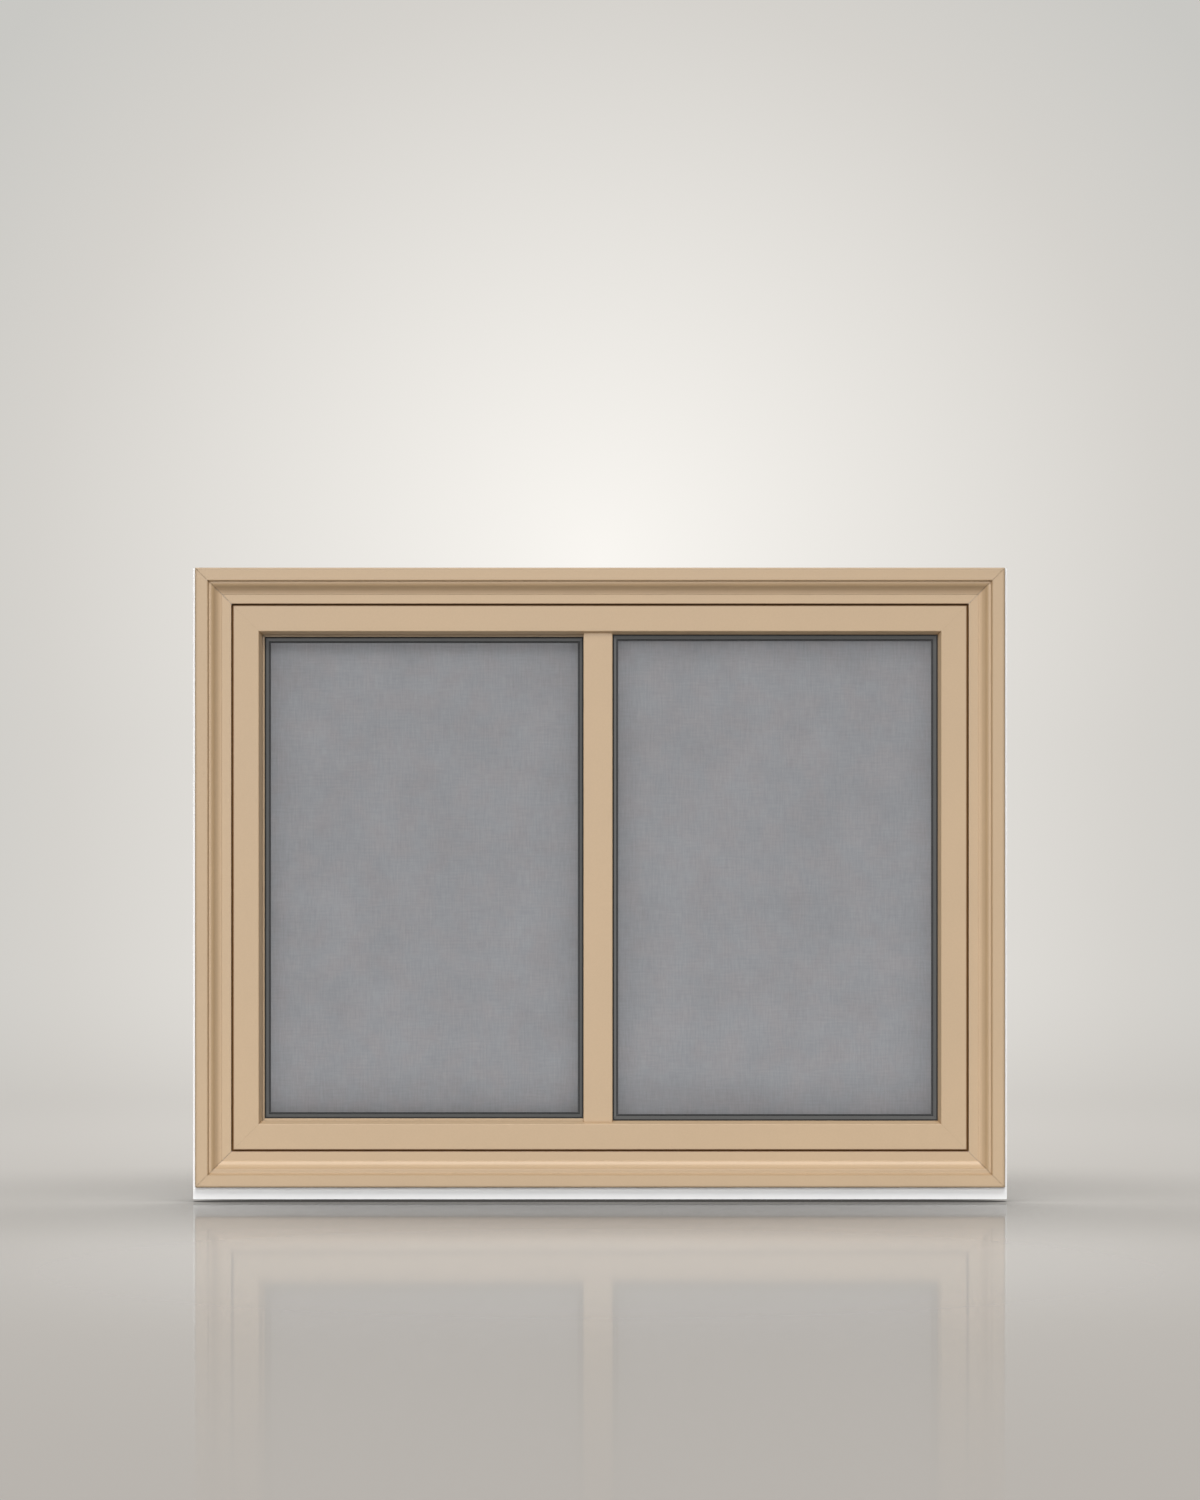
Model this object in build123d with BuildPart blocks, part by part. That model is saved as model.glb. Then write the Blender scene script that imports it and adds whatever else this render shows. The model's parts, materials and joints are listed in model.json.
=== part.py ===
"""Two-lite storm window: ogee casing, multi-track frame, insect screens and glass sashes.

Sizes are in millimetres. X runs along the wall, Z is up and the window faces -Y.
Y = 0 is the wall surface that the back of the casing lies on, and Z = 0 is the
casing's bottom edge, so the origin is at the bottom middle of the sill casing's back.

The extrusions are drawn as sections in two directions: inward, from a frame's
outer edge toward the middle of the window, and forward, from the wall surface
toward the outdoors.
"""

import os
from math import cos, radians, sin, tan

from build123d import *

# Overall size of the casing
casing_length = 1219.0
casing_height = 933.0

# Ogee casing section
casing_width = 54.0
casing_wall = 2.0
band_depth = 36.0
band_width = 19.0
step_width = 2.2
step_depth = 3.6
step_round = 0.4
fillet_width = 1.6
ogee_width = 6.6
ogee_slope = 52.0
cove_width = 8.6
bead_width = 0.6
bead_fall = 1.2
bead_height = 1.0
bead_round = 0.5
inner_flat_depth = 21.7
outer_arris = 2.5
inner_arris = 1.0

# Tongue of the casing that clips into the track frame
reveal = 2.5
tongue_forward = 1.5
tongue_thickness = 2.5
tongue_grip = 2.8
clip_wall = 1.6

# Track frame section
track_face_forward = 21.0
track_face_width = 43.0
flange_depth = 10.0
flange_bevel = 4.6
flange_arris = 1.4
rib_thickness = 2.0
rib_reach = 2.9
rib_round = 0.7
screen_track = 10.0
sash_track = 14.0
back_leg = 3.0
frame_wall = 1.6
flange_lap = 6.0
rib_lap = 6.6
lift_room = 8.0
side_play = 0.3

# Centre mullion
mullion_width = 44.0
mullion_offset = -3.0
mullion_setback = 6.0
mullion_arris = 1.6
mullion_wall = 1.6

# Screen frames
screen_bar_width = 19.0
screen_bar_depth = 8.0
screen_wall = 1.0
screen_arris = 0.7
screen_lip_width = 3.0
screen_lip_drop = 1.2
screen_stile_lap = 7.5
spline_groove_width = 3.0
spline_groove_depth = 4.2
spline_height = 3.3
spline_round = 1.0
mesh_thickness = 0.5

# Glass sashes
sash_bar_width = 16.0
sash_bar_depth = 12.4
sash_arris = 0.8
glass_thickness = 3.0
glass_groove_depth = 9.0
gasket_wall = 1.8

# White expanders beside and under the casing
expander_drop = 18.0
expander_side = 3.4
expander_forward = 25.0
expander_wall = 1.8
expander_return = 17.0
expander_insert = 12.0

# Seals: foam in the joint round the track frame, and weatherstrips on the screens
joint_seal_recess = 6.0
joint_seal_depth = 7.0
strip_reach = 2.2
strip_grip = 3.0
strip_round = 0.3

# Installation screw holes through the jambs
screw_hole_radius = 2.5
screw_spacing = 500.0

# Fits
casing_mitre_gap = 0.22
mitre_gap = 0.06
slide_fit = 0.15

# Places worked out from the sizes above
frame_edge = casing_width + reveal
flange_edge = frame_edge + track_face_width
rib_edge = flange_edge + rib_reach
flange_back = track_face_forward - flange_depth
mullion_front = track_face_forward - mullion_setback
mullion_sides = (mullion_offset - mullion_width / 2, mullion_offset + mullion_width / 2)

# The tracks from the outdoors inward, with the room for each and the panel edge it hides
track_widths = {
    "front_screen": screen_track,
    "rear_screen": screen_track,
    "front_sash": sash_track,
    "rear_sash": sash_track,
}
track_fronts = {}
next_front = flange_back
for track, width in track_widths.items():
    track_fronts[track] = next_front
    next_front -= width + rib_thickness
frame_back = next_front + rib_thickness - back_leg
track_middles = {track: track_fronts[track] - track_widths[track] / 2 for track in track_widths}
panel_edges = {track: rib_edge - rib_lap for track in track_widths}
panel_edges["front_screen"] = flange_edge - flange_lap

# Room between a panel's edge and the bottom of its track
pocket_rooms = {"head": lift_room, "sill": 0.0, "left": side_play, "right": side_play}


def side_planes(x_low, x_high, z_low, z_high):
    """Return a section plane and a bar length for each side of an upright rectangle.

    Each plane's own X points inward and its Y points forward.
    """
    x_middle = (x_low + x_high) / 2
    z_middle = (z_low + z_high) / 2
    width = x_high - x_low
    height = z_high - z_low
    return {
        "head": (Plane((x_middle, 0, z_high), x_dir=(0, 0, -1), z_dir=(-1, 0, 0)), width),
        "sill": (Plane((x_middle, 0, z_low), x_dir=(0, 0, 1), z_dir=(1, 0, 0)), width),
        "left": (Plane((x_low, 0, z_middle), x_dir=(1, 0, 0), z_dir=(0, 0, -1)), height),
        "right": (Plane((x_high, 0, z_middle), x_dir=(-1, 0, 0), z_dir=(0, 0, 1)), height),
    }


def mitred_bar(section, plane, length, gap=mitre_gap):
    """Extrude a section along one side of a frame and mitre both ends."""
    with BuildPart() as bar:
        with BuildSketch(plane):
            add(section)
        extrude(amount=length / 2, both=True)
        for end in (1, -1):
            corner = plane.origin + plane.z_dir * (end * length / 2)
            cut = Plane(corner, z_dir=plane.x_dir + plane.z_dir * end)
            split(bisect_by=cut.offset(-gap), keep=Keep.BOTTOM)
    return bar.part


def ring(rectangle, outer, inner, back, depth):
    """Return a rectangular ring between two insets of a rectangle, lying at a given depth."""
    x_low, x_high, z_low, z_high = rectangle
    with BuildPart() as band:
        with BuildSketch(Plane.XZ.offset(back)):
            with Locations(((x_low + x_high) / 2, (z_low + z_high) / 2)):
                Rectangle(x_high - x_low - 2 * outer, z_high - z_low - 2 * outer)
                if inner is not None:
                    Rectangle(
                        x_high - x_low - 2 * inner,
                        z_high - z_low - 2 * inner,
                        mode=Mode.SUBTRACT,
                    )
        extrude(amount=depth)
    return band.part


def write_piece(piece, name):
    """Label a finished piece and write it to a file of that name."""
    piece.label = name
    export_step(piece, f"parts/{name}.step")


os.makedirs("parts", exist_ok=True)

outer_rectangle = (-casing_length / 2, casing_length / 2, 0, casing_height)
frame_sides = side_planes(*outer_rectangle)

# Ogee casing: outer band, a sharp step down to a fillet, ogee, small bead and inner flat
band_edge = (band_width, band_depth)
step_foot = (band_width + step_width, band_depth - step_depth)
ogee_start = (step_foot[0] + fillet_width, step_foot[1])
cove_start = (
    ogee_start[0] + ogee_width,
    ogee_start[1] - ogee_width * tan(radians(ogee_slope / 2)),
)
cove_slope = (cos(radians(ogee_slope)), -sin(radians(ogee_slope)))
bead_depth = inner_flat_depth + bead_height
cove_end = (cove_start[0] + cove_width, bead_depth)
bead_edge = (cove_end[0] + bead_width, bead_depth)
inner_edge = (casing_width, inner_flat_depth)

with BuildSketch() as casing_section:
    with BuildLine():
        Polyline(inner_edge, (casing_width, 0), (0, 0), (0, band_depth), band_edge, step_foot, ogee_start)
        TangentArc(ogee_start, cove_start, tangent=(1, 0))
        TangentArc(cove_start, cove_end, tangent=cove_slope)
        Polyline(cove_end, bead_edge, (bead_edge[0] + bead_fall, inner_flat_depth), inner_edge)
    make_face()
    fillet(casing_section.vertices().sort_by_distance((0, band_depth))[0], outer_arris)
    fillet(casing_section.vertices().sort_by_distance(inner_edge)[0], inner_arris)
    fillet(casing_section.vertices().sort_by_distance(band_edge)[0], step_round)
    fillet(casing_section.vertices().sort_by_distance(bead_edge)[0], bead_round)
    offset(amount=-casing_wall, kind=Kind.INTERSECTION, mode=Mode.SUBTRACT)
    with Locations((casing_width - casing_wall, tongue_forward)):
        Rectangle(
            casing_wall + reveal + tongue_grip,
            tongue_thickness,
            align=(Align.MIN, Align.MIN),
        )

with BuildSketch() as slotted_section:
    add(casing_section.sketch)
    with Locations((0, expander_forward)):
        Rectangle(2 * casing_wall, expander_wall + 2 * slide_fit, mode=Mode.SUBTRACT)

casing_sections = {side: slotted_section.sketch for side in frame_sides}
casing_sections["head"] = casing_section.sketch

for side, (plane, length) in frame_sides.items():
    casing = mitred_bar(casing_sections[side], plane, length, casing_mitre_gap)
    write_piece(casing, f"{side}_casing")


# Track frame: face with a bevelled flange, four tracks and a chamber behind each
def track_section(pocket_room):
    """Return the section of a track frame bar whose tracks leave this room round the panels."""
    floors = {track: panel_edges[track] - pocket_room for track in track_widths}
    outline = [
        (frame_edge, track_face_forward),
        (flange_edge - flange_bevel, track_face_forward),
        (flange_edge, flange_back),
    ]
    for track, front in track_fronts.items():
        back = front - track_widths[track]
        outline += [(floors[track], front), (floors[track], back), (rib_edge, back)]
        outline.append((rib_edge, back - rib_thickness))
    outline[-1] = (rib_edge, frame_back)
    outline.append((frame_edge, frame_back))
    chamber_low = frame_edge + frame_wall
    with BuildSketch() as section:
        with BuildLine():
            Polyline(*outline, close=True)
        make_face()
        face_corners = section.vertices().group_by(Axis.Y)[-1]
        fillet(face_corners.sort_by(Axis.X)[-1], flange_arris)
        fillet(face_corners.sort_by(Axis.X)[0], inner_arris)
        fillet(section.vertices().group_by(Axis.X)[-1], rib_round)
        with Locations((chamber_low, flange_back + frame_wall)):
            Rectangle(
                flange_edge - flange_bevel - frame_wall - chamber_low,
                flange_depth - 2 * frame_wall,
                align=(Align.MIN, Align.MIN),
                mode=Mode.SUBTRACT,
            )
        for track, front in track_fronts.items():
            with Locations((chamber_low, front)):
                Rectangle(
                    floors[track] - frame_wall - chamber_low,
                    track_widths[track],
                    align=(Align.MIN, Align.MAX),
                    mode=Mode.SUBTRACT,
                )
        with Locations((frame_edge, tongue_forward + tongue_thickness / 2)):
            Rectangle(
                tongue_grip + slide_fit + clip_wall,
                tongue_thickness + 2 * (slide_fit + clip_wall),
                align=(Align.MIN, Align.CENTER),
            )
            Rectangle(
                tongue_grip + slide_fit,
                tongue_thickness + 2 * slide_fit,
                align=(Align.MIN, Align.CENTER),
                mode=Mode.SUBTRACT,
            )
    return section.sketch


# Each jamb is screwed to the wall opening through the sash track that stands empty there
screw_tracks = {"left": "rear_sash", "right": "front_sash"}

for side, (plane, length) in frame_sides.items():
    with BuildPart() as track_bar:
        add(mitred_bar(track_section(pocket_rooms[side]), plane, length))
        if side in screw_tracks:
            depth = track_middles[screw_tracks[side]]
            with Locations(Plane(plane.origin, x_dir=-plane.z_dir, z_dir=plane.x_dir)):
                with Locations((screw_spacing / 2, depth), (-screw_spacing / 2, depth)):
                    Cylinder(
                        screw_hole_radius,
                        rib_edge,
                        align=(Align.CENTER, Align.CENTER, Align.MIN),
                        mode=Mode.SUBTRACT,
                    )
    write_piece(track_bar.part, f"{side}_track")

# Foam seal in the joint between the casing and the track frame
joint_seal = ring(
    outer_rectangle,
    casing_width + slide_fit,
    frame_edge - slide_fit,
    track_face_forward - joint_seal_recess - joint_seal_depth,
    joint_seal_depth,
)
write_piece(joint_seal, "casing_seal")

# Centre mullion: a shallow channel whose ends fit the bevels of the head and sill flanges
with BuildSketch() as mullion_section:
    with Locations((mullion_offset, -flange_back)):
        Rectangle(mullion_width, mullion_front - flange_back, align=(Align.CENTER, Align.MAX))
    fillet(mullion_section.vertices().group_by(Axis.Y)[0], mullion_arris)
    with Locations((mullion_offset, -flange_back)):
        Rectangle(
            mullion_width - 2 * mullion_wall,
            mullion_front - flange_back - mullion_wall,
            align=(Align.CENTER, Align.MAX),
            mode=Mode.SUBTRACT,
        )

with BuildPart() as mullion:
    with BuildSketch():
        add(mullion_section.sketch)
    extrude(amount=casing_height)
    for side in ("head", "sill"):
        plane = frame_sides[side][0]
        corner = plane.origin + plane.x_dir * flange_edge + plane.y_dir * flange_back
        bevel = Plane(corner, z_dir=plane.x_dir * flange_depth + plane.y_dir * flange_bevel)
        split(bisect_by=bevel.offset(mitre_gap), keep=Keep.TOP)
write_piece(mullion.part, "centre_mullion")


# Insect screens: mitred hollow bars, a spline in a groove, the mesh under it and a weatherstrip
def panel_rectangle(track, left_edge, right_edge):
    """Return the low and high X and Z of a panel's outer edges."""
    edge = panel_edges[track]
    x_low = -casing_length / 2 + edge if left_edge is None else left_edge
    x_high = casing_length / 2 - edge if right_edge is None else right_edge
    return x_low, x_high, edge, casing_height - edge


groove_outer = screen_bar_width - screen_lip_width - spline_groove_width
groove_inner = screen_bar_width - screen_lip_width


def screen_section(back):
    """Return the section of a screen bar whose back lies this far forward."""
    front = back + screen_bar_depth
    with BuildSketch() as section:
        with Locations((0, back)):
            Rectangle(screen_bar_width, screen_bar_depth, align=(Align.MIN, Align.MIN))
        fillet(section.vertices(), screen_arris)
        with Locations((screen_bar_width, front)):
            Rectangle(
                screen_lip_width + spline_groove_width,
                screen_lip_drop,
                align=(Align.MAX, Align.MAX),
                mode=Mode.SUBTRACT,
            )
        with Locations((groove_inner, front)):
            Rectangle(
                spline_groove_width,
                spline_groove_depth,
                align=(Align.MAX, Align.MAX),
                mode=Mode.SUBTRACT,
            )
        with Locations((screen_wall, back + screen_wall)):
            Rectangle(
                groove_outer - 2 * screen_wall,
                screen_bar_depth - 2 * screen_wall,
                align=(Align.MIN, Align.MIN),
                mode=Mode.SUBTRACT,
            )
    return section.sketch


screen_rectangles = {
    "left_screen": (
        "rear_screen",
        panel_rectangle("rear_screen", None, mullion_sides[0] + screen_stile_lap),
    ),
    "right_screen": (
        "front_screen",
        panel_rectangle("front_screen", mullion_sides[1] - screen_stile_lap, None),
    ),
}
screen_openings = {
    "left_screen": (
        -casing_length / 2 + rib_edge,
        mullion_sides[0],
        rib_edge,
        casing_height - rib_edge,
    ),
    "right_screen": (
        mullion_sides[1],
        casing_length / 2 - flange_edge,
        flange_edge,
        casing_height - flange_edge,
    ),
}
strip_height = (screen_track - screen_bar_depth) / 2 - slide_fit
bar_names = {"head": "top_rail", "sill": "bottom_rail", "left": "left_stile", "right": "right_stile"}

for name, (track, rectangle) in screen_rectangles.items():
    back = track_middles[track] - screen_bar_depth / 2
    front = back + screen_bar_depth
    for side, (plane, length) in side_planes(*rectangle).items():
        write_piece(mitred_bar(screen_section(back), plane, length), f"{name}_{bar_names[side]}")
    with BuildPart() as spline:
        add(
            ring(
                rectangle,
                groove_outer + slide_fit,
                groove_inner - slide_fit,
                front - spline_groove_depth,
                spline_height,
            )
        )
        fillet(spline.faces().sort_by(Axis.Y)[0].edges(), spline_round)
    write_piece(spline.part, f"{name}_spline")
    mesh = ring(rectangle, groove_inner, None, front - screen_lip_drop, mesh_thickness)
    write_piece(mesh, f"{name}_mesh")
    with BuildPart() as strip:
        add(ring(screen_openings[name], -strip_grip, strip_reach, front, strip_height))
        fillet(strip.faces().sort_by(Axis.Y)[0].edges(), strip_round)
    write_piece(strip.part, f"{name}_seal")


# Glass sashes: mitred bars with a groove for the pane and its gasket
def sash_section(middle):
    """Return the section of a sash bar whose glass groove lies this far forward."""
    with BuildSketch() as section:
        with Locations((0, middle)):
            Rectangle(sash_bar_width, sash_bar_depth, align=(Align.MIN, Align.CENTER))
        fillet(section.vertices(), sash_arris)
        with Locations((sash_bar_width, middle)):
            Rectangle(
                glass_groove_depth,
                glass_thickness + 2 * (gasket_wall + slide_fit),
                align=(Align.MAX, Align.CENTER),
                mode=Mode.SUBTRACT,
            )
    return section.sketch


meeting_edge = sash_bar_width / 2
sash_rectangles = {
    "left_sash": (
        "front_sash",
        panel_rectangle("front_sash", None, mullion_offset + meeting_edge),
    ),
    "right_sash": (
        "rear_sash",
        panel_rectangle("rear_sash", mullion_offset - meeting_edge, None),
    ),
}
gasket_inset = sash_bar_width - glass_groove_depth + slide_fit
glass_inset = gasket_inset + gasket_wall

for name, (track, rectangle) in sash_rectangles.items():
    middle = track_middles[track]
    for side, (plane, length) in side_planes(*rectangle).items():
        write_piece(mitred_bar(sash_section(middle), plane, length), f"{name}_{bar_names[side]}")
    glass = ring(rectangle, glass_inset, None, middle - glass_thickness / 2, glass_thickness)
    write_piece(glass, f"{name}_glass")
    gasket_depth = glass_thickness + 2 * gasket_wall
    with BuildPart() as gasket:
        add(ring(rectangle, gasket_inset, sash_bar_width, middle - gasket_depth / 2, gasket_depth))
        add(
            ring(rectangle, glass_inset, None, middle - glass_thickness / 2, glass_thickness),
            mode=Mode.SUBTRACT,
        )
    write_piece(gasket.part, f"{name}_gasket")

# White sill expander: a strip that slides in the slot under the sill casing
with BuildPart() as sill_expander:
    with BuildSketch(Plane.YZ):
        with Locations((-expander_forward, -expander_drop)):
            Rectangle(expander_wall, expander_drop, align=(Align.CENTER, Align.MIN))
            Rectangle(expander_return, expander_wall, align=(Align.MIN, Align.MIN))
    extrude(amount=casing_length / 2 + expander_side, both=True)
    with BuildSketch(Plane.YZ):
        with Locations((-expander_forward, 0)):
            Rectangle(expander_wall, expander_insert, align=(Align.CENTER, Align.MIN))
    extrude(amount=casing_length / 2 - casing_width, both=True)
write_piece(sill_expander.part, "sill_expander")

# White side expanders: narrow strips in the slots of the jamb casings
for side in ("left", "right"):
    plane, length = frame_sides[side]
    with BuildPart() as side_expander:
        with BuildSketch(plane):
            with Locations((0, expander_forward)):
                Rectangle(expander_side, expander_wall, align=(Align.MAX, Align.CENTER))
        extrude(amount=length / 2 - mitre_gap, both=True)
        with BuildSketch(plane):
            with Locations((0, expander_forward)):
                Rectangle(expander_insert, expander_wall, align=(Align.MIN, Align.CENTER))
        extrude(amount=length / 2 - casing_width, both=True)
    write_piece(side_expander.part, f"{side}_expander")
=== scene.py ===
"""Dresses the storm window: satin paint, woven screen cloth, glass and a pale studio."""

import json
import math
import random

import bpy
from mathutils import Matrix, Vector


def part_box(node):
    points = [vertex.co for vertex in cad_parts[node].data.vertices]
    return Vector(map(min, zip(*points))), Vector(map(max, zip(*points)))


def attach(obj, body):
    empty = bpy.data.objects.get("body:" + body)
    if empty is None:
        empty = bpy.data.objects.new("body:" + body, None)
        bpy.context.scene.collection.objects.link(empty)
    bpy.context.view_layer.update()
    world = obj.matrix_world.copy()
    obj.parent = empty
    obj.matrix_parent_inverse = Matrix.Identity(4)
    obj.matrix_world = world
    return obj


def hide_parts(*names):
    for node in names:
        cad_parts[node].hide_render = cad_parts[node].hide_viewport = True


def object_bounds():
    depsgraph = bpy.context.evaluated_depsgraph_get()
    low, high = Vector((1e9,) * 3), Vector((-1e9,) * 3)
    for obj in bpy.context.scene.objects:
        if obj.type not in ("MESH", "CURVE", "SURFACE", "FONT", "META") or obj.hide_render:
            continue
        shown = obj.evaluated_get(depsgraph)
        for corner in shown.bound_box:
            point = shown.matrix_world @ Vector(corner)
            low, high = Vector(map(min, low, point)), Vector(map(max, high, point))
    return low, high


MM = 0.001

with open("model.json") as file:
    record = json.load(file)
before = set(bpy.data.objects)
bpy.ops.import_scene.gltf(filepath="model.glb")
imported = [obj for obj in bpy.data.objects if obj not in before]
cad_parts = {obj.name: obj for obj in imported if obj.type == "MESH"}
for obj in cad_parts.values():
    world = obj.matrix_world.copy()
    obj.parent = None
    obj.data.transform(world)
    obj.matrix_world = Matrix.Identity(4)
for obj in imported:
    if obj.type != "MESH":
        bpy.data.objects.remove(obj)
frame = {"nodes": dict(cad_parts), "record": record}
cad_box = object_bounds()
nodes = frame["nodes"]

# Photograph frame: 1200 by 1500 pixels, with the casing's edges where the photo has them
IMAGE_WIDTH = 1200
IMAGE_MIDDLE_PX = 750
CASING_LEFT_PX = 194.8
CASING_RIGHT_PX = 1004.7
CASING_MIDDLE_PX = 877.6
CAMERA_DISTANCE = 7.0
SENSOR_WIDTH = 36.0

# Colours, linear
TAN = (0.562, 0.402, 0.248)
CHARCOAL = (0.094, 0.095, 0.094)
SPLINE = (0.048, 0.049, 0.050)
RUBBER = (0.022, 0.021, 0.020)
# Seal foam deep in the reveal gap; its dark brown also stands in for the gap's shade
FOAM_AND_GAP_SHADE = (0.12, 0.055, 0.012)
CLOTH = (0.3175, 0.3238, 0.3405)
CLOTH_WARM = (0.3287, 0.3228, 0.3345)
WHITE = (0.89, 0.89, 0.89)
GLASS = (0.93, 0.97, 0.95, 1.0)
FLOOR = (0.80, 0.772, 0.736)

# Painted shade and highlights, and the dark mitre joints, as factors on a colour
CLEAN = (1.0, 1.0, 1.0)
# Painted shade in the tan paint's corners and recesses, darkest and brownest in the deepest
TAN_CORNER_SHADE = (0.55, 0.39, 0.22)
TAN_DEEP_SHADE = (0.12, 0.06, 0.015)
# Painted shade on the step, the cove, the reveal's edges and the arris, and a painted highlight on
# the bead; the mitre line is a dark joint
STEP_SHADE = (0.88, 0.85, 0.80)
COVE_SHADE = (0.82, 0.78, 0.71)
REVEAL_SHADE = (0.31, 0.155, 0.035)
MITRE_GRIME = (0.68, 0.66, 0.62)
ARRIS_SHADE = (0.80, 0.80, 0.80)
ARRIS_EDGE_SHADE = (0.86, 0.86, 0.86)
BEAD_HIGHLIGHT = (1.13, 1.14, 1.18)
# Painted shade in the charcoal paint's corners and recesses
CHARCOAL_CORNER_SHADE = (0.95, 0.94, 0.92)
CHARCOAL_DEEP_SHADE = (0.50, 0.48, 0.45)

# Paint: noise scales per metre, and stops of noise against tone
NOISE_ROUGHNESS = 0.55
DRIFT_SCALE = 5.0
DRIFT_TONES = ((0.3, 0.975), (0.7, 1.02))
SPECK_SCALE = 420.0
SPECK_TONES = ((0.35, 0.975), (0.65, 1.0))
GRAIN_SCALE = 900.0
GRAIN_HEIGHT = 0.02 * MM
ROUGHNESS_SWING = (-0.05, 0.06)
# Painted shade in corners and recesses, by how open the surface lies
CORNER_SHADE_REACH = 9 * MM
CORNER_SHADE_STOPS = (0.0, 0.3, 0.86)
SATIN = {"roughness": 0.40, "specular": 0.42}
MATT = {"roughness": 0.55, "specular": 0.2}

# Painted shade and highlights on the frame's profile, by the distance in from the casing's outer
# edge, and the mitres of the casing as dark joints
CASING_WIDTH = 54.0 * MM
REVEAL = 2.5 * MM
REVEAL_SHADE_BAND = 1.5 * MM
PROFILE_REACH = 60.0 * MM
BACK_MARGIN = 1.5 * MM
# Painted shade on the arris, the step, the cove and the reveal's edges, and a painted highlight on
# the bead
PROFILE_PAINTED_LIGHT = (
    (0.0, ARRIS_SHADE),
    (2.1 * MM, ARRIS_EDGE_SHADE),
    (4.2 * MM, CLEAN),
    (17.2 * MM, CLEAN),
    (18.4 * MM, STEP_SHADE),
    (19.6 * MM, STEP_SHADE),
    (20.8 * MM, CLEAN),
    (22.4 * MM, CLEAN),
    (24.4 * MM, COVE_SHADE),
    (27.4 * MM, COVE_SHADE),
    (30.4 * MM, CLEAN),
    (32.6 * MM, CLEAN),
    (35.0 * MM, BEAD_HIGHLIGHT),
    (38.6 * MM, BEAD_HIGHLIGHT),
    (40.0 * MM, CLEAN),
    (CASING_WIDTH - REVEAL_SHADE_BAND, CLEAN),
    (CASING_WIDTH, REVEAL_SHADE),
    (CASING_WIDTH + REVEAL, REVEAL_SHADE),
    (CASING_WIDTH + REVEAL + REVEAL_SHADE_BAND, CLEAN),
)
MITRE_START = 22.0 * MM
MITRE_WIDTH = 1.2 * MM

# Bars whose charcoal is painted lighter, as painted light against the shade of their recesses
BAR_PAINTED_LIGHT = {
    "left_screen_top_rail": 1.4,
    "right_screen_left_stile": 1.35,
    "right_screen_bottom_rail": 1.12,
}

# Rubber and vinyl
RUBBER_SCALE = 600.0
RUBBER_TONES = ((0.3, 1.0), (0.7, 1.5))
RUBBER_HEIGHT = 0.06 * MM
VINYL_DRIFT_SCALE = 12.0
VINYL_TONES = ((0.3, 0.97), (0.7, 1.0))
VINYL_GRAIN_SCALE = 700.0
VINYL_HEIGHT = 0.02 * MM
# Painted light on the sill strip: lighter at its foot and just below the casing, where shade falls
STRIP_PAINTED_LIGHT = ((0.0, 1.06), (0.2, 1.01), (0.5, 0.98), (0.8, 1.02), (0.92, 1.11), (1.0, 1.11))
STRIP_TOP = 1.5 * MM

# Screen cloth: its threads
THREAD_PITCH = 1.2 * MM
THREAD_WIDTHS = (0.97, 1.03)
THREAD_SEGMENTS = 8
THREAD_RING = ((-0.5, 0), (-0.25, 0.5), (0.25, 0.5), (0.5, 0), (0.25, -0.5), (-0.25, -0.5))
UPRIGHT_COVER = 0.43
UPRIGHT_WANDER = 0.04 * MM
LEVEL_COVER = 1.03
LEVEL_WANDER = 0.004 * MM
SCREEN_SEEDS = {"left_screen": 11, "right_screen": 23}

# Screen cloth: its tones, and the painted shade at its sides, foot and head, where the frame shades
# it
THREAD_TONES = ((0.0, 0.99), (1.0, 1.01))
UPRIGHT_STRETCH = (400.0, 1.0, 40.0)
UPRIGHT_SLUBS = ((0.3, 0.944), (0.7, 1.056))
LEVEL_STRETCH = (40.0, 1.0, 360.0)
LEVEL_SLUBS = ((0.3, 0.963), (0.7, 1.037))
TINT_SCALE = 28.0
TINT_STOPS = ((0.4, CLOTH), (0.65, CLOTH_WARM))
CLOUD_SCALE = 11.0
CLOUD_TONES = ((0.32, 0.95), (0.68, 1.045))
EDGE_SHADE_REACH = 70 * MM
SIDE_SHADE = {
    "left_screen": ((0.0, 0.77), (0.22, 0.90), (0.5, 0.965), (1.0, 1.0)),
    "right_screen": ((0.0, 0.77), (0.1, 0.84), (0.22, 0.89), (0.5, 0.975), (1.0, 1.0)),
}
FOOT_SHADE = {
    "left_screen": (
        (0.0, 0.65),
        (0.012, 0.75),
        (0.022, 0.83),
        (0.035, 0.89),
        (0.08, 0.99),
        (0.1, 1.0),
    ),
    "right_screen": (
        (0.0, 0.685),
        (0.012, 0.78),
        (0.022, 0.82),
        (0.035, 0.87),
        (0.08, 0.985),
        (0.1, 1.0),
    ),
}
HEAD_SHADE = {
    "left_screen": ((0.9, 1.0), (0.95, 0.96), (0.978, 0.905), (0.985, 0.885), (1.0, 0.90)),
    "right_screen": (
        (0.9, 1.0),
        (0.95, 0.945),
        (0.965, 0.88),
        (0.98, 0.81),
        (0.99, 0.727),
        (1.0, 0.615),
    ),
}

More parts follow.
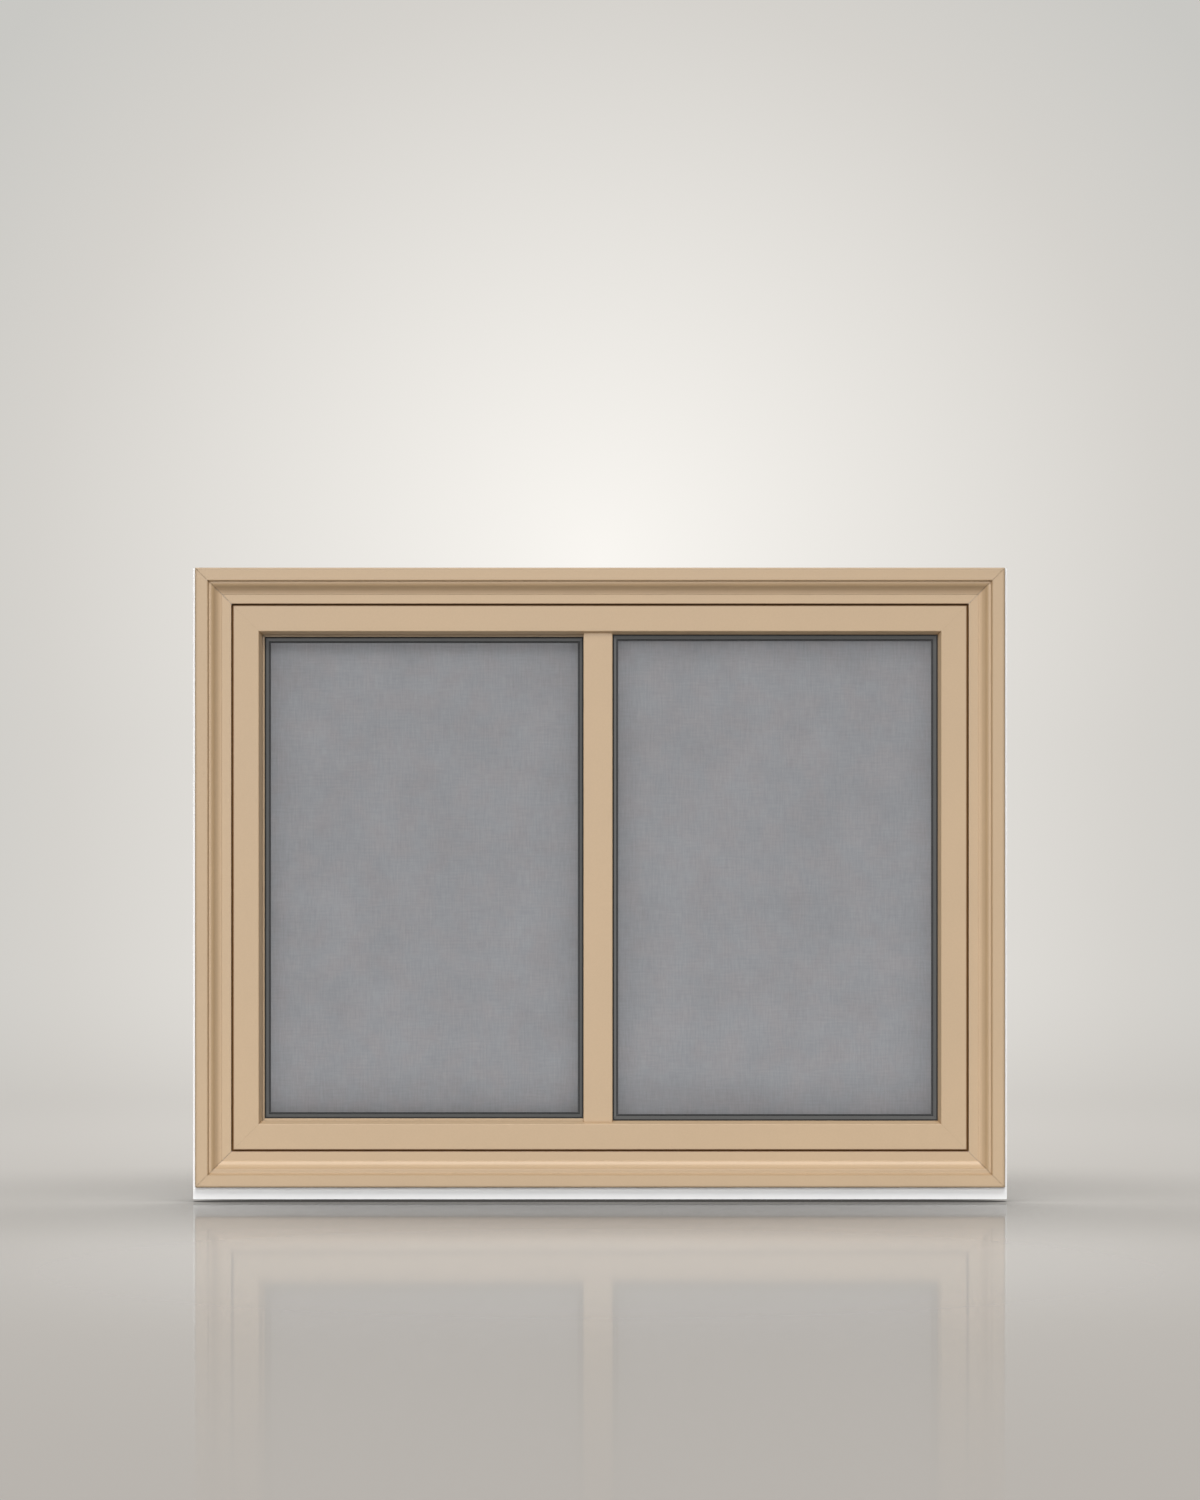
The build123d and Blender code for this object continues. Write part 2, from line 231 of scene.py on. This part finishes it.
# Floor: a matt patch before the window, a mirror that fades away from it, and a shade round its foot
FLOOR_GAP = 4.0 * MM
FLOOR_REACH = 9.0
FLOOR_CORNERS = ((-1, -1), (1, -1), (1, 1), (-1, 1))
FLOOR_FADE = (1.4, 4.5)
SHADE_REACH = 0.9
FLOOR_SHADES = ((0.38, 0.14), (0.5, 0.22), (0.75, 0.54), (1.0, 1.0))
PATCH_MIDDLE = (0.0, -1.2, 0.0)
PATCH_REACH = (0.2, 1.2)
PATCH_SHARES = (0.62, 0.1)
MIRROR_SHADES = ((0.42, 0.1), (0.6, 1.0))
MIRROR_ROUGHNESS = 0.05
GLOSS_REACH = (-3.2, 0.0)
GLOSS_SHARES = (0.08, 0.24)
GLOSS_OUTSIDE = 0.15
GLOSS_BACK = (0.05, 0.5)
GLOSS_SIDE = (0.62, 0.95)

# Backdrop: a glow behind the window, from its middle to its rim, and a darker ground
GLOW_DIRECTION = (0.0, 0.99767, 0.0683)
GLOW_REACH = 0.165
GLOW_FOOT = (-1.0, -1.0, 0.03)
GLOW_STOPS = (
    (0.0, (0.955, 0.930, 0.887)),
    (0.73, (0.665, 0.645, 0.610)),
    (1.0, (0.584, 0.578, 0.552)),
)
GROUND = (0.479, 0.451, 0.418)
GROUND_FADE = (-0.018, -0.092)
AMBIENT = 0.04


# Node helpers


class NodeTree:
    """Short ways to add nodes to the tree of a material or a world."""

    def __init__(self, owner):
        owner.use_nodes = True
        self.nodes = owner.node_tree.nodes
        self.links = owner.node_tree.links

    def make(self, kind, **settings):
        node = self.nodes.new(f"ShaderNode{kind}")
        for name, value in settings.items():
            setattr(node, name, value)
        return node

    def fill(self, socket, value):
        """Link an output to a socket, or set a constant on it."""
        if isinstance(value, bpy.types.NodeSocket):
            self.links.new(value, socket)
        else:
            socket.default_value = value

    def math(self, operation, first, second=0.0):
        node = self.make("Math", operation=operation)
        for socket, value in zip(node.inputs, (first, second)):
            self.fill(socket, value)
        return node.outputs[0]

    def vector_math(self, operation, first, second=(0.0, 0.0, 0.0)):
        node = self.make("VectorMath", operation=operation)
        for socket, value in zip(node.inputs, (first, second)):
            self.fill(socket, value)
        return node.outputs["Value" if operation in ("DISTANCE", "LENGTH") else "Vector"]

    def split(self, vector):
        node = self.make("SeparateXYZ")
        self.links.new(vector, node.inputs[0])
        return node.outputs

    def span(self, value, start=(0.0, 1.0), end=(0.0, 1.0), interpolation="LINEAR"):
        """Map a value from one range to another."""
        node = self.make("MapRange", interpolation_type=interpolation)
        node.inputs["From Min"].default_value, node.inputs["From Max"].default_value = start
        node.inputs["To Min"].default_value, node.inputs["To Max"].default_value = end
        self.links.new(value, node.inputs["Value"])
        return node.outputs["Result"]

    def ramp(self, factor, stops):
        """Map a factor to colours given as (position, colour) stops."""
        node = self.make("ValToRGB")
        elements = node.color_ramp.elements
        while len(elements) < len(stops):
            elements.new(0.5)
        for element, (position, colour) in zip(elements, stops):
            element.position = position
            element.color = (*colour, 1.0)
        self.links.new(factor, node.inputs["Fac"])
        return node.outputs["Color"]

    def tones(self, factor, colour, stops):
        """Map a factor to one colour times the levels of (position, level) stops."""
        return self.ramp(factor, [(at, scaled(colour, level)) for at, level in stops])

    def shade(self, factor, stops):
        """Map a factor to greys given as (position, level) stops."""
        return self.ramp(factor, [(at, (level,) * 3) for at, level in stops])

    def mix(self, factor, first, second, blend="MIX"):
        node = self.make("Mix", data_type="RGBA", blend_type=blend)
        self.fill(node.inputs["Factor"], factor)
        colours = [socket for socket in node.inputs if socket.type == "RGBA"]
        for socket, value in zip(colours, (first, second)):
            self.fill(socket, value)
        return [socket for socket in node.outputs if socket.type == "RGBA"][0]

    def layered(self, tone, layers, factor=1.0):
        """Multiply a tone by each layer in turn."""
        for layer in layers:
            tone = self.mix(factor, tone, layer, "MULTIPLY")
        return tone

    def openness(self, reach):
        """Return 1 where the surface lies open and less in corners and under edges."""
        node = self.make("AmbientOcclusion")
        node.inputs["Distance"].default_value = reach
        return node.outputs["AO"]

    def shader(self, kind, **inputs):
        node = self.make(kind)
        for name, value in inputs.items():
            self.fill(node.inputs[name], value)
        return node.outputs[0]

    def mix_shader(self, factor, first, second):
        node = self.make("MixShader")
        for socket, value in zip(node.inputs, (factor, first, second)):
            self.links.new(value, socket)
        return node.outputs[0]

    def output(self, kind, surface):
        self.links.new(surface, self.make(kind).inputs["Surface"])


class Shader(NodeTree):
    """A material with a principled shader, textured by object coordinates."""

    def __init__(self, name):
        self.material = bpy.data.materials.new(name)
        super().__init__(self.material)
        self.surface = self.nodes["Principled BSDF"]
        self.place = self.make("TexCoord").outputs["Object"]

    def set(self, **values):
        for socket, value in values.items():
            self.surface.inputs[socket.replace("_", " ")].default_value = value

    def feed(self, socket, value):
        self.links.new(value, self.surface.inputs[socket])

    def noise(self, scale, detail=3.0, vector=None):
        node = self.make("TexNoise")
        node.inputs["Scale"].default_value = scale
        node.inputs["Detail"].default_value = detail
        node.inputs["Roughness"].default_value = NOISE_ROUGHNESS
        self.links.new(vector or self.place, node.inputs["Vector"])
        return node.outputs["Fac"]

    def streaks(self, stretch):
        """Return noise drawn out along one axis."""
        return self.noise(1.0, detail=2.0, vector=self.vector_math("MULTIPLY", self.place, stretch))

    def bump(self, height, distance):
        node = self.make("Bump")
        node.inputs["Strength"].default_value = 1.0
        node.inputs["Distance"].default_value = distance
        self.links.new(height, node.inputs["Height"])
        self.feed("Normal", node.outputs["Normal"])


def scaled(colour, factor):
    return tuple(min(1.0, channel * factor) for channel in colour)


# Materials


def painted(name, colour, corner_shades, roughness, specular):
    """Paint on an extrusion: slow tone drift, fine grain, and painted shade in the corners and
    recesses.
    """
    paint = Shader(name)
    drift = paint.noise(DRIFT_SCALE, detail=4.0)
    specks = paint.shade(paint.noise(SPECK_SCALE, detail=2.0), SPECK_TONES)
    # Painted shade: darker where the surface lies less open
    corner_shade = paint.ramp(paint.openness(CORNER_SHADE_REACH), list(zip(CORNER_SHADE_STOPS, (*corner_shades, CLEAN))))
    tone = paint.tones(drift, colour, DRIFT_TONES)
    paint.feed("Base Color", paint.layered(tone, (specks, corner_shade)))
    paint.feed("Roughness", paint.span(drift, end=[roughness + swing for swing in ROUGHNESS_SWING]))
    paint.set(Specular_IOR_Level=specular)
    paint.bump(paint.noise(GRAIN_SCALE, detail=2.0), GRAIN_HEIGHT)
    return paint


def paint_profile_light(paint, low, high):
    """Paint shade on the outer arris, the step, the cove and the edges of the reveal, a highlight on
    the bead, and draw the mitres of the casing.
    """
    place = paint.split(paint.place)
    insets = []
    for axis, start, size in (("X", low.x, high.x - low.x), ("Z", low.z, high.z - low.z)):
        along = paint.math("SUBTRACT", place[axis], start)
        insets.append(paint.math("PINGPONG", along, size / 2))
    inward = paint.math("MINIMUM", *insets)
    stops = [(at / PROFILE_REACH, tint) for at, tint in PROFILE_PAINTED_LIGHT]
    # Painted shade and highlight across the profile
    profile_light = paint.ramp(paint.math("DIVIDE", inward, PROFILE_REACH), stops)
    apart = paint.math("ABSOLUTE", paint.math("SUBTRACT", *insets))
    mitre_middle = (MITRE_START + CASING_WIDTH) / 2
    from_middle = paint.math("ABSOLUTE", paint.math("SUBTRACT", inward, mitre_middle))
    off_mitre = paint.math("GREATER_THAN", from_middle, (CASING_WIDTH - MITRE_START) / 2)
    seam = paint.math("MAXIMUM", paint.math("DIVIDE", apart, MITRE_WIDTH), off_mitre)
    mitres = paint.ramp(seam, ((0.0, MITRE_GRIME), (1.0, CLEAN)))
    in_front = paint.math("LESS_THAN", place["Y"], high.y - BACK_MARGIN)
    tone = paint.surface.inputs["Base Color"].links[0].from_socket
    paint.feed("Base Color", paint.layered(tone, (profile_light, mitres), in_front))


# A fade above 1 lightens the charcoal: painted light on bars that lie in shade
def charcoal(name, fade):
    return painted(name, scaled(CHARCOAL, fade), (CHARCOAL_DEEP_SHADE, CHARCOAL_CORNER_SHADE), **MATT).material


def rubber(name, colour):
    soft = Shader(name)
    speck = soft.noise(RUBBER_SCALE)
    soft.feed("Base Color", soft.tones(speck, colour, RUBBER_TONES))
    soft.set(Roughness=0.7, Specular_IOR_Level=0.2)
    soft.bump(speck, RUBBER_HEIGHT)
    return soft.material


def vinyl(name, foot):
    """White vinyl, with painted light up the sill strip to where it runs in under the casing: lighter
    at its foot and just below the casing, where shade falls.
    """
    plastic = Shader(name)
    tone = plastic.tones(plastic.noise(VINYL_DRIFT_SCALE), WHITE, VINYL_TONES)
    climb = plastic.span(plastic.split(plastic.place)["Z"], start=(foot, STRIP_TOP))
    plastic.feed("Base Color", plastic.layered(tone, [plastic.shade(climb, STRIP_PAINTED_LIGHT)]))
    plastic.set(Roughness=0.5, Specular_IOR_Level=0.3)
    plastic.bump(plastic.noise(VINYL_GRAIN_SCALE), VINYL_HEIGHT)
    return plastic.material


def glass(name):
    pane = Shader(name)
    pane.set(Base_Color=GLASS, Roughness=0.02, IOR=1.5, Transmission_Weight=1.0)
    return pane.material


def cloth(name):
    """Grey screen cloth: every thread has its own tone, with slubs along it, soft clouds, and painted
    shade towards the frame at its sides, foot and head.
    """
    low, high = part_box(f"{name}_mesh")
    weave = Shader(f"{name}_cloth")
    tint = weave.ramp(weave.noise(TINT_SCALE, detail=2.0), TINT_STOPS)
    clouds = weave.shade(weave.noise(CLOUD_SCALE, detail=4.0), CLOUD_TONES)
    threads = weave.shade(weave.make("NewGeometry").outputs["Random Per Island"], THREAD_TONES)
    upright_slubs = weave.shade(weave.streaks(UPRIGHT_STRETCH), UPRIGHT_SLUBS)
    level_slubs = weave.shade(weave.streaks(LEVEL_STRETCH), LEVEL_SLUBS)
    share = weave.split(weave.make("TexCoord").outputs["Generated"])
    from_side = weave.math("PINGPONG", share["X"], 0.5)
    inward = weave.math("DIVIDE", from_side, EDGE_SHADE_REACH / (high.x - low.x))
    # Painted shade towards the frame at the sides, foot and head
    sides = weave.shade(inward, SIDE_SHADE[name])
    ends = weave.shade(share["Z"], FOOT_SHADE[name] + HEAD_SHADE[name])
    layers = (clouds, threads, upright_slubs, level_slubs, sides, ends)
    weave.feed("Base Color", weave.layered(tint, layers))
    weave.set(Roughness=0.75, Specular_IOR_Level=0.2)
    return weave.material


tan_paint = painted("tan_paint", TAN, (TAN_DEEP_SHADE, TAN_CORNER_SHADE), **SATIN)
paint_profile_light(tan_paint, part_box("sill_casing")[0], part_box("head_casing")[1])

finishes = {
    "tan_paint": tan_paint.material,
    "sash_paint": tan_paint.material,
    "charcoal_paint": charcoal("charcoal_paint", 1.0),
    "spline_rubber": rubber("spline_rubber", SPLINE),
    "gasket_rubber": rubber("gasket_rubber", RUBBER),
    "seal_foam": rubber("seal_foam", FOAM_AND_GAP_SHADE),
    "white_vinyl": vinyl("white_vinyl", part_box("sill_expander")[0].z),
    "clear_glass": glass("clear_glass"),
}
cloths = {f"{name}_mesh": cloth(name) for name in SCREEN_SEEDS}
# Lighter charcoal copies: painted light on bars in shade
lit_bars = {bar: charcoal(f"charcoal_{bar}", fade) for bar, fade in BAR_PAINTED_LIGHT.items()}
own_finishes = {**cloths, **lit_bars}
for part in frame["record"]["subparts"]:
    for slot in nodes[part["node"]].material_slots:
        slot.material = own_finishes.get(part["node"]) or finishes[part["material_slot"]]


# Screen cloth


class Threads:
    """Layers of threads, laid side by side over a rectangle."""

    def __init__(self, low, high, seed):
        self.low, self.high = low, high
        self.thickness = (high.y - low.y) / 2
        self.draw = random.Random(seed)
        self.vertices, self.faces = [], []

    def thread(self, path, across, width):
        """Add one flat six-sided thread along a path of points."""
        start = len(self.vertices)
        depth = Vector((0, 1, 0))
        for point in path:
            for u, v in THREAD_RING:
                self.vertices.append(point + across * (u * width) + depth * (v * self.thickness))
        sides = len(THREAD_RING)
        for step in range(len(path) - 1):
            for side in range(sides):
                a = start + step * sides + side
                b = start + step * sides + (side + 1) % sides
                self.faces.append((a, b, b + sides, a + sides))
        last = start + (len(path) - 1) * sides
        self.faces.append(tuple(start + side for side in reversed(range(sides))))
        self.faces.append(tuple(last + side for side in range(sides)))

    def layer(self, along, across, y_middle, cover, sway):
        """Lay the threads of one direction, each wandering a little along its length."""
        length = (self.high - self.low).dot(along)
        reach = (self.high - self.low).dot(across)
        count = round(reach / THREAD_PITCH)
        pitch = reach / count
        corner = Vector((self.low.x, y_middle, self.low.z))
        for index in range(count):
            width = pitch * cover * self.draw.uniform(*THREAD_WIDTHS)
            middle = (index + 0.5) * pitch
            room = max(0.0, min(middle, reach - middle) - width / 2)
            path = []
            for step in range(THREAD_SEGMENTS + 1):
                wander = max(-room, min(room, self.draw.gauss(0.0, sway)))
                forward = along * (length * step / THREAD_SEGMENTS)
                path.append(corner + forward + across * (middle + wander))
            self.thread(path, across, width)


def weave_screen(name, seed):
    """Weave a screen's cloth in the place of its plain plate."""
    low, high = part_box(f"{name}_mesh")
    threads = Threads(low, high, seed)
    up, right = Vector((0, 0, 1)), Vector((1, 0, 0))
    threads.layer(up, right, low.y + threads.thickness / 2, UPRIGHT_COVER, UPRIGHT_WANDER)
    threads.layer(right, up, high.y - threads.thickness / 2, LEVEL_COVER, LEVEL_WANDER)
    mesh = bpy.data.meshes.new(f"{name}_cloth")
    mesh.from_pydata(threads.vertices, [], threads.faces)
    mesh.materials.append(cloths[f"{name}_mesh"])
    piece = bpy.data.objects.new(f"{name}_cloth", mesh)
    bpy.context.scene.collection.objects.link(piece)
    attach(piece, "root")
    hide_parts(f"{name}_mesh")


for screen_name, screen_seed in SCREEN_SEEDS.items():
    weave_screen(screen_name, screen_seed)


# Camera

casing_low, casing_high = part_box("head_casing")
pixels_per_metre = (CASING_RIGHT_PX - CASING_LEFT_PX) / (casing_high.x - casing_low.x)
middle_z = (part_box("sill_casing")[0].z + casing_high.z) / 2

camera_data = bpy.data.cameras.new("camera")
camera_data.sensor_fit = "HORIZONTAL"
camera_data.sensor_width = SENSOR_WIDTH
camera_data.lens = SENSOR_WIDTH * pixels_per_metre * CAMERA_DISTANCE / IMAGE_WIDTH
camera_data.shift_y = (CASING_MIDDLE_PX - IMAGE_MIDDLE_PX) / IMAGE_WIDTH
camera = bpy.data.objects.new("camera", camera_data)
camera.location = (0.0, casing_low.y - CAMERA_DISTANCE, middle_z)
camera.rotation_euler = (math.radians(90), 0, 0)
bpy.context.scene.collection.objects.link(camera)
bpy.context.scene.camera = camera


# Lamps


def aim(light, direction):
    light.rotation_euler = Vector(direction).to_track_quat("-Z", "Y").to_euler()
    bpy.context.scene.collection.objects.link(light)


def sun_light(name, towards, spread, strength):
    """Even soft light, as from a large distant lamp."""
    data = bpy.data.lights.new(name, "SUN")
    data.angle = math.radians(spread)
    data.energy = strength
    aim(bpy.data.objects.new(name, data), -Vector(towards))


def area_light(name, place, target, size, power, mirrored):
    """A rectangular lamp that the camera doesn't see, and mirrors only if asked."""
    data = bpy.data.lights.new(name, "AREA")
    data.shape = "RECTANGLE"
    data.size, data.size_y = size
    data.energy = power
    light = bpy.data.objects.new(name, data)
    light.location = place
    light.visible_camera = False
    light.visible_glossy = mirrored
    aim(light, Vector(target) - Vector(place))


sun_light("key", towards=(-0.14, -1.0, 0.28), spread=36.0, strength=1.74)
sun_light("high", towards=(0.0, -0.62, 0.79), spread=20.0, strength=1.38)
area_light("overhead", (0, 0.5, 3.2), target=(0, -0.6, 0), size=(3.0, 2.0), power=36, mirrored=True)
area_light("behind", (0, 2.6, 1.9), target=(0, 0, 0.4), size=(2.6, 1.2), power=50, mirrored=False)


# Floor and backdrop


def floor_material():
    """Pale floor with a faint mirror and a soft shade round the window, fading into the backdrop."""
    material = bpy.data.materials.new("floor")
    tree = NodeTree(material)
    tree.nodes.clear()
    place = tree.make("NewGeometry").outputs["Position"]
    axes = tree.split(place)
    openness = tree.openness(SHADE_REACH)
    see_through = tree.shader("BsdfTransparent", Color=tree.tones(openness, CLEAN, FLOOR_SHADES))
    diffuse = tree.shader("BsdfDiffuse", Color=tree.tones(openness, FLOOR, FLOOR_SHADES))
    from_middle = tree.vector_math("DISTANCE", place, PATCH_MIDDLE)
    matt_share = tree.span(from_middle, PATCH_REACH, PATCH_SHARES, "SMOOTHSTEP")
    matt = tree.mix_shader(matt_share, see_through, diffuse)
    reflected = tree.shade(openness, MIRROR_SHADES)
    mirror = tree.shader("BsdfGlossy", Color=reflected, Roughness=MIRROR_ROUGHNESS)
    gloss = tree.span(axes["Y"], GLOSS_REACH, GLOSS_SHARES)
    for far, ends in ((axes["Y"], GLOSS_BACK), (tree.math("ABSOLUTE", axes["X"]), GLOSS_SIDE)):
        gloss = tree.math("MULTIPLY", gloss, tree.span(far, ends, (1.0, GLOSS_OUTSIDE), "SMOOTHSTEP"))
    sheen = tree.mix_shader(gloss, matt, mirror)
    apart = tree.vector_math("LENGTH", place)
    fade = tree.span(apart, FLOOR_FADE, interpolation="SMOOTHSTEP")
    tree.output("OutputMaterial", tree.mix_shader(fade, sheen, tree.shader("BsdfTransparent")))
    return material


def studio_world():
    """Dim even light for the object, and a pale glow for what the camera and mirrors see."""
    world = bpy.data.worlds.new("studio")
    tree = NodeTree(world)
    tree.nodes.clear()
    way = tree.make("TexCoord").outputs["Generated"]
    lifted = tree.vector_math("MAXIMUM", way, GLOW_FOOT)
    from_glow = tree.vector_math("DISTANCE", lifted, GLOW_DIRECTION)
    glow = tree.ramp(tree.span(from_glow, (0.0, GLOW_REACH)), GLOW_STOPS)
    ground = tree.span(tree.split(way)["Z"], GROUND_FADE, interpolation="SMOOTHSTEP")
    shown = tree.shader("Background", Color=tree.mix(ground, glow, (*GROUND, 1.0)))
    light = tree.shader("Background", Color=(*CLEAN, 1.0), Strength=AMBIENT)
    rays = tree.make("LightPath").outputs
    seen = rays["Is Camera Ray"]
    for ray in ("Is Glossy Ray", "Is Transmission Ray"):
        seen = tree.math("MAXIMUM", seen, rays[ray])
    tree.output("OutputWorld", tree.mix_shader(seen, light, shown))
    return world


floor_z = cad_box[0].z - FLOOR_GAP
floor_corners = [(x * FLOOR_REACH, y * FLOOR_REACH, floor_z) for x, y in FLOOR_CORNERS]
floor_data = bpy.data.meshes.new("floor")
floor_data.from_pydata(floor_corners, [], [(0, 1, 2, 3)])
floor_data.materials.append(floor_material())
floor = bpy.data.objects.new("floor", floor_data)
bpy.context.scene.collection.objects.link(floor)

bpy.context.scene.world = studio_world()
bpy.context.scene.view_settings.view_transform = "Standard"
